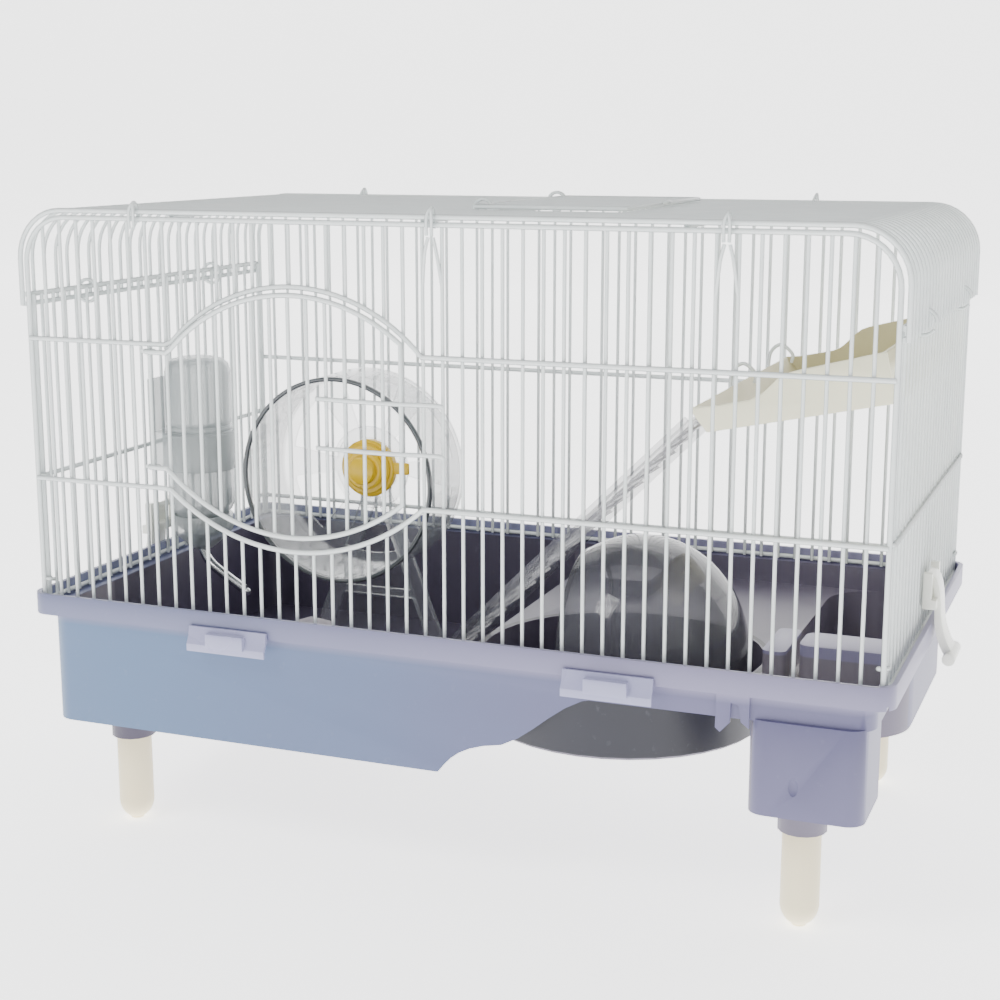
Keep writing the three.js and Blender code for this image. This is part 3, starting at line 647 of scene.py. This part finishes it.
def jointRings():
    # two open turns of wire at each side seam and hatch hinge
    for node in [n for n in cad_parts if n.startswith(("seam_ring", "hatch_ring"))]:
        _, _, centre, r = boxOf(node)
        r -= 0.9 * mm
        strokes = []
        for lift in (-ties["r"], ties["r"]):
            ring = [centre + Vector((r * math.cos(a), lift, r * math.sin(a)))
                    for a in (math.radians(12 * i) for i in range(28))]
            strokes.append((ring, ties["r"], False))
        finishPiece(wirePiece(node + "_wire", strokes), "cage", "wire", [node])


def shelfHooks():
    for node in ("shelf_hook_front", "shelf_hook_rear"):
        low, high, centre, _ = boxOf(node)
        y = centre.y
        path = [(low.x + 1 * mm, y, low.z + 1 * mm), (low.x + 2 * mm, y, high.z - 6 * mm),
                (centre.x, y, high.z - 1 * mm), (high.x - 1.2 * mm, y, high.z - 6 * mm),
                (high.x - 1.6 * mm, y, high.z - 11 * mm)]
        finishPiece(wirePiece(node + "_wire", [bent(path, 1.0 * mm, 8)]), "cage", "wire", [node])


frontPanel()
backPanel()
sidePanel("leftGrille", "left_panel", -1)
sidePanel("rightGrille", "right_panel", 1)
lidPanel()
roofHatch()
frontDoor()
roofTies()
jointRings()
shelfHooks()
print("wire panels ready")


# Tray, legs, clips and latches

def trayMoulding():
    finishPiece(softCopy("tray", "trayMoulding", 0.9 * mm, 2, 30), "tray", "tray", ["tray"])


leg = {"tipFlat": 0.9, "tipHeight": 1.15, "neck": 0.985, "top": 0.95, "shoulder": 1 * mm}


def legs():
    for node in [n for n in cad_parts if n.startswith("leg_")]:
        low, high, centre, r = boxOf(node)
        height = high.z - low.z
        tip = [(r * math.sin(a), r * leg["tipHeight"] * (1 - math.cos(a)))
               for a in (math.radians(6 * i) for i in range(4, 16))]
        profile = [(0, 0), (tip[0][0] * leg["tipFlat"], 0), *tip,
                   (r * leg["neck"], height - leg["shoulder"]), (r * leg["top"], height), (0, height)]
        mesh = moved(turnedMesh(profile, 64), upright, Vector((centre.x, centre.y, low.z)))
        finishPiece(pieceFrom(mesh, node + "_peg", 60), "tray", "legs", [node])


trayMoulding()
legs()
for node in ("front_clip_left", "front_clip_right"):
    finishPiece(softCopy(node, node + "_moulded", 0.35 * mm, 2, 20), node, "clips", [node])
for node in ("side_latch_left", "side_latch_right"):
    finishPiece(softCopy(node, node + "_moulded", 0.8 * mm, 3, 40), node, "latches", [node])
print("tray ready")


# Wheel

drum = {"wall": 1.8 * mm, "spokes": 6, "spokeHalf": 0.16, "bore": 2.4 * mm, "hubR": 23 * mm,
        "rimWidth": 7 * mm, "treads": 48, "treadDeep": 0.35 * mm, "treadInset": 0.4 * mm, "margin": 3 * mm}


def wheelDrum():
    low, high, centre, r = boxOf("wheel_drum")
    deep = high.y - low.y
    rimR = r - drum["rimWidth"]
    radii = [drum["bore"], 10 * mm, drum["hubR"], 32 * mm, 41 * mm, rimR, r - 2 * mm]
    profile = [*[(x, deep) for x in radii], (r, deep - 2 * mm), (r, deep * 0.5), (r, 2 * mm),
               (r - 0.4 * mm, 0)]
    mesh = turnedMesh(profile, 144)
    # windows between the spokes of the back wall
    holes = []
    for face in mesh.faces:
        middle = face.calc_center_median()
        radius = math.hypot(middle.x, middle.y)
        turn = (math.atan2(middle.y, middle.x) / (2 * math.pi) * drum["spokes"]) % 1
        if drum["hubR"] < radius < rimR and drum["spokeHalf"] < turn < 1 - drum["spokeHalf"]:
            holes.append(face)
    bmesh.ops.delete(mesh, geom=holes, context="FACES")
    bmesh.ops.recalc_face_normals(mesh, faces=mesh.faces)
    bmesh.ops.solidify(mesh, geom=mesh.faces, thickness=drum["wall"])
    # shallow treads across the running band
    for vert in mesh.verts:
        radius = math.hypot(vert.co.x, vert.co.y)
        if radius > r - drum["margin"] and drum["margin"] < vert.co.z < deep - drum["margin"]:
            wave = math.cos(math.atan2(vert.co.y, vert.co.x) * drum["treads"])
            vert.co.xy *= 1 - (drum["treadDeep"] * wave + drum["treadInset"]) / radius
    bmesh.ops.recalc_face_normals(mesh, faces=mesh.faces)
    moved(mesh, facingFront, Vector((centre.x, low.y, centre.z)))
    finishPiece(pieceFrom(mesh, "wheelDrum", 35), "wheel", "clear_plastic", ["wheel_drum"])


def frontRing():
    low, high, centre, r = boxOf("wheel_front_ring")
    deep = high.y - low.y
    bore = r - 2.4 * mm
    profile = [(bore, 0.8 * mm), (r - 1.8 * mm, 0.1 * mm), (r - 0.7 * mm, 0), (r, 0.7 * mm),
               (r, deep - 0.5 * mm), (r - 0.6 * mm, deep), (r - 1.9 * mm, deep), (bore, deep - 0.6 * mm),
               (bore, 0.8 * mm)]
    mesh = moved(turnedMesh(profile, 128), facingFront, Vector((centre.x, low.y, centre.z)))
    finishPiece(pieceFrom(mesh, "wheelFrontRing", 50), "wheel", "dark_plastic", ["wheel_front_ring"])


# hub cap: front is (radius, depth) in mm down its steps, flange is the clear disc behind it
hub = {"front": ((0, 0), (5, 0.2), (7.6, 1.2), (8.4, 3), (8.4, 4.6), (10.6, 4.6), (11.8, 5.6), (11.8, 7.4),
                 (14, 7.4), (14.8, 8.4), (14.8, 10)),
       "bore": 2.5 * mm, "boreDeep": 3.5 * mm, "flangeGap": 0.6 * mm, "flangeOut": 7 * mm,
       "flangeThick": 1.6 * mm, "tab": (11 * mm, 2.4 * mm, 7 * mm), "tabOut": 3.5 * mm, "tabBack": 3.4 * mm}


def hubCap():
    low, high, centre, r = boxOf("wheel_hub_cap")
    deep = high.y - low.y
    profile = [(x * mm, z * mm) for x, z in hub["front"]]
    profile += [(r - 0.8 * mm, 10.2 * mm), (r, 11.2 * mm), (r, deep - 0.6 * mm), (r - 0.6 * mm, deep),
                (hub["bore"], deep), (hub["bore"], deep - hub["boreDeep"]), (0, deep - hub["boreDeep"])]
    mesh = moved(turnedMesh(profile, 72), facingFront, Vector((centre.x, low.y, centre.z)))
    finishPiece(pieceFrom(mesh, "wheelHubCap", 30), "wheel", "yellow_plastic", ["wheel_hub_cap"])


def hubFlangeAndTab():
    _, high, centre, r = boxOf("wheel_hub_cap")
    start = r + hub["flangeGap"]
    end = r + hub["flangeOut"]
    thick = hub["flangeThick"]
    profile = [(start, 0), (end, 0), (end + 0.6 * mm, thick / 2), (end, thick), (start, thick), (start, 0)]
    mesh = moved(turnedMesh(profile, 96), facingFront, Vector((centre.x, high.y - 1.8 * mm, centre.z)))
    finishPiece(pieceFrom(mesh, "wheelFlange", 40), "wheel", "clear_plastic")
    mesh = bmesh.new()
    bmesh.ops.create_cube(mesh, size=1)
    bmesh.ops.scale(mesh, verts=mesh.verts, vec=hub["tab"])
    bmesh.ops.bevel(mesh, geom=mesh.edges, offset=0.9 * mm, affect="EDGES", segments=3, profile=0.5,
                    material=-1)
    place = (centre.x + r + hub["tabOut"], high.y - hub["tabBack"], centre.z + 1 * mm)
    bmesh.ops.translate(mesh, verts=mesh.verts, vec=place)
    finishPiece(pieceFrom(mesh, "wheelHubTab", 40), "wheel", "yellow_plastic")


def wheelSupport():
    for node, slot in (("wheel_axle", "steel"), ("wheel_spacer", "yellow_plastic")):
        finishPiece(softCopy(node, node + "_turned", 0.25 * mm, 2, 40), "tray", slot, [node])
    finishPiece(softCopy("wheel_stand", "wheelStand", 0.8 * mm, 2, 30), "tray", "clear_plastic",
                ["wheel_stand"])


wheelDrum()
frontRing()
hubCap()
hubFlangeAndTab()
wheelSupport()
print("wheel ready")


# Bottle

bottle = {"grooves": 4, "grooveTop": 0.60, "grooveStep": 0.035, "grooveDeep": 0.8 * mm,
          "grooveHalf": 0.9 * mm, "neckIn": 4 * mm, "neckBore": 5.4 * mm, "wall": 1.6 * mm}
cap = {"hole": 4 * mm, "wallIn": 2.4 * mm, "flutes": 24, "fluteDeep": 0.02}
spout = {"r": 2.9 * mm, "topUp": 8 * mm, "ballR": 2.2 * mm}


def bottleBody():
    low, high, centre, r = boxOf("bottle_body")
    z = high.z - low.z
    profile = [(0, z), (r * 0.5, z - 0.2 * mm), (r * 0.78, z - 1.6 * mm), (r * 0.94, z - 4.6 * mm),
               (r, z - 9 * mm), (r, z * 0.62)]
    for i in range(bottle["grooves"]):
        h = z * (bottle["grooveTop"] - bottle["grooveStep"] * i)
        profile += [(r, h), (r - bottle["grooveDeep"], h - bottle["grooveHalf"]),
                    (r, h - 2 * bottle["grooveHalf"])]
    neck = r - bottle["neckIn"]
    bore = r - bottle["neckBore"]
    inner = r - bottle["wall"]
    profile += [(r, 10 * mm), (r - 1.4 * mm, 6.6 * mm), (neck, 4.4 * mm), (neck, 0), (bore, 0),
                (bore, 5.4 * mm), (inner, 10 * mm), (inner, z - 9 * mm), (r * 0.88, z - 5.6 * mm),
                (r * 0.7, z - 3 * mm), (0, z - 2 * mm)]
    mesh = moved(turnedMesh(profile, 72), upright, Vector((centre.x, centre.y, low.z)))
    finishPiece(pieceFrom(mesh, "bottleBody", 50), "bottle", "frosted_plastic", ["bottle_body"])


def bottleCap():
    low, high, centre, r = boxOf("bottle_cap")
    z = high.z - low.z
    profile = [(cap["hole"], 0), (6 * mm, 0.2 * mm), (r * 0.5, 3 * mm), (r * 0.86, 9 * mm),
               (r * 0.98, 12 * mm), (r, 13.5 * mm), (r, z - 0.6 * mm), (r - 0.6 * mm, z), (r - 2 * mm, z),
               (r - cap["wallIn"], 15 * mm), (cap["hole"], 6 * mm), (cap["hole"], 0)]
    mesh = turnedMesh(profile, 96)
    for vert in mesh.verts:                         # fluted grip
        if math.hypot(vert.co.x, vert.co.y) > r * 0.97:
            wave = 0.5 + 0.5 * math.cos(math.atan2(vert.co.y, vert.co.x) * cap["flutes"])
            vert.co.xy *= 1 - cap["fluteDeep"] * wave
    moved(mesh, upright, Vector((centre.x, centre.y, low.z)))
    finishPiece(pieceFrom(mesh, "bottleCap", 40), "bottle", "frosted_plastic", ["bottle_cap"])


def bottleSpout():
    centre = boxOf("bottle_body")[2]
    x, y = centre.x, centre.y
    top = rim + spout["topUp"]
    path = [(x, y, top), (x, y, top - 9 * mm), (x + 8 * mm, y - 2.5 * mm, top - 18 * mm),
            (x + 34 * mm, y - 11.4 * mm, top - 28.4 * mm)]
    finishPiece(wirePiece("bottleSpout", [bent(path, spout["r"], 10)], 6), "bottle", "steel",
                ["bottle_spout"])
    mesh = bmesh.new()
    bmesh.ops.create_uvsphere(mesh, u_segments=24, v_segments=14, radius=spout["ballR"])
    bmesh.ops.translate(mesh, verts=mesh.verts, vec=boxOf("spout_ball")[2])
    finishPiece(pieceFrom(mesh, "spoutBall", 60), "bottle", "steel", ["spout_ball"])
    finishPiece(softCopy("bottle_seal", "bottleSeal", 0.3 * mm, 2, 40), "bottle", "dark_plastic",
                ["bottle_seal"])
    finishPiece(softCopy("bottle_holder", "bottleHolder", 0.7 * mm, 2, 35), "cage", "frosted_plastic",
                ["bottle_holder"])


bottleBody()
bottleCap()
bottleSpout()
print("bottle ready")


# Shelf, ladder and dome house

def shelfBoard():
    finishPiece(softCopy("shelf_board", "shelfBoard", 1.0 * mm, 3, 30), "cage", "cream_plastic",
                ["shelf_board"])


def ladderPiece():
    finishPiece(softCopy("ladder", "ladderMoulded", 0.35 * mm, 2, 30), "ladder", "smoke_plastic", ["ladder"])


house = {"wall": 1.6 * mm, "bulge": 1.06, "footOut": 0.2 * mm, "footHigh": 2.2 * mm, "skinIn": 1.2 * mm,
         "topGap": 0.8 * mm, "lipR": 1.3 * mm, "lipIn": 1.4 * mm}


def domeHouse():
    low, high, _, _ = boxOf("dome_house")
    r = (high.y - low.y) / 2
    centre = Vector((high.x - r, (low.y + high.y) / 2, low.z))
    height = high.z - low.z
    skirt = height - r * house["bulge"]
    skin = r - house["skinIn"]
    profile = [(r - house["footOut"], 0), (r - house["footOut"], house["footHigh"]),
               (skin, house["footHigh"] + 1 * mm)]
    profile += [(skin * math.cos(a), skirt + (height - skirt - house["topGap"]) * math.sin(a))
                for a in (math.radians(4.5 * i) for i in range(21))]
    profile[-1] = (0, profile[-1][1])               # closed on the axis
    mesh = turnedMesh(profile, 112)
    bmesh.ops.translate(mesh, verts=mesh.verts, vec=centre)
    # cut flat where the doorway is, then given its wall
    bmesh.ops.bisect_plane(mesh, geom=mesh.verts[:] + mesh.edges[:] + mesh.faces[:], dist=1e-6,
                           plane_co=(low.x, 0, 0), plane_no=(-1, 0, 0), clear_outer=True)
    bmesh.ops.recalc_face_normals(mesh, faces=mesh.faces)
    bmesh.ops.solidify(mesh, geom=mesh.faces, thickness=house["wall"])
    bmesh.ops.recalc_face_normals(mesh, faces=mesh.faces)
    finishPiece(pieceFrom(mesh, "domeHouse", 45), "tray", "smoke_plastic", ["dome_house"])
    # rolled lip round the doorway
    chord = math.sqrt(r * r - (centre.x - low.x) ** 2) - house["lipIn"]
    x = low.x + 1 * mm
    base = low.z + skirt
    lip = [Vector((x, centre.y + chord * math.cos(a), base + chord * house["bulge"] * math.sin(a)))
           for a in (math.radians(6 * i) for i in range(31))]
    footZ = low.z + house["lipIn"]
    lip = [Vector((x, lip[0].y, footZ)), *lip, Vector((x, lip[-1].y, footZ))]
    finishPiece(wirePiece("domeLip", [(lip, house["lipR"], False)], 3), "tray", "smoke_plastic")


shelfBoard()
ladderPiece()
domeHouse()
print("shelf, ladder and house ready")


# Floor, light and camera

view = {"place": (0.34394, -0.89475, 0.38032), "yaw": 21.43, "down": 11.86, "lens": 62.64, "sensor": 36}
backdrop = {"halfWidth": 6, "front": -4, "bendY": 3, "bendR": 1.5, "top": 6, "glow": 2.4, "world": 0.35}
lamps = {"keyLight": {"place": (-0.9, -1.3, 1.7), "aim": (0, 0, 0.15), "size": 0.8, "power": 26},
         "fillLight": {"place": (1.6, -0.9, 1.0), "aim": (0, 0, 0.15), "size": 1.2, "power": 5},
         "topLight": {"place": (0.2, 0.6, 1.9), "aim": (0, 0, 0.1), "size": 1.6, "power": 8}}


def sweptFloor():
    # floor that sweeps up into a plain backdrop
    mesh = bmesh.new()
    r = backdrop["bendR"]
    bend = [(backdrop["bendY"] + r * math.sin(a), r - r * math.cos(a))
            for a in (math.radians(9 * i) for i in range(11))]
    outline = [(backdrop["front"], 0), *bend, (backdrop["bendY"] + r, backdrop["top"])]
    line = [mesh.verts.new((-backdrop["halfWidth"], y, z)) for y, z in outline]
    edges = [mesh.edges.new(pair) for pair in zip(line, line[1:])]
    swept = bmesh.ops.extrude_edge_only(mesh, edges=edges)
    verts = [v for v in swept["geom"] if isinstance(v, bmesh.types.BMVert)]
    bmesh.ops.translate(mesh, verts=verts, vec=(2 * backdrop["halfWidth"], 0, 0))
    floor = pieceFrom(mesh, "floor", 60)
    paint = Paint("floorPaint")
    white = paint.blend(paint.noise(3.0), linear(254, 254, 254), linear(251, 251, 251))
    floor.data.materials.append(paint.surface(Base_Color=white, Roughness=0.9, Emission_Color=white,
                                              Emission_Strength=backdrop["glow"]))
    world = bpy.data.worlds.new("studio")
    world.use_nodes = True
    world.node_tree.nodes["Background"].inputs["Color"].default_value = (1, 1, 1, 1)
    world.node_tree.nodes["Background"].inputs["Strength"].default_value = backdrop["world"]
    bpy.context.scene.world = world


def studioLamps():
    for name, lamp in lamps.items():
        light = bpy.data.lights.new(name, "AREA")
        light.size = lamp["size"]
        light.energy = lamp["power"]
        holder = bpy.data.objects.new(name, light)
        holder.location = lamp["place"]
        aim = Vector(lamp["aim"]) - Vector(lamp["place"])
        holder.rotation_euler = aim.to_track_quat("-Z", "Y").to_euler()
        bpy.context.scene.collection.objects.link(holder)


def cameraView():
    lens = bpy.data.cameras.new("camera")
    lens.lens = view["lens"]
    lens.sensor_width = view["sensor"]
    camera = bpy.data.objects.new("camera", lens)
    camera.location = view["place"]
    camera.rotation_euler = (math.radians(90 - view["down"]), 0, math.radians(view["yaw"]))
    bpy.context.scene.collection.objects.link(camera)
    bpy.context.scene.camera = camera


sweptFloor()
studioLamps()
cameraView()
print("studio ready")
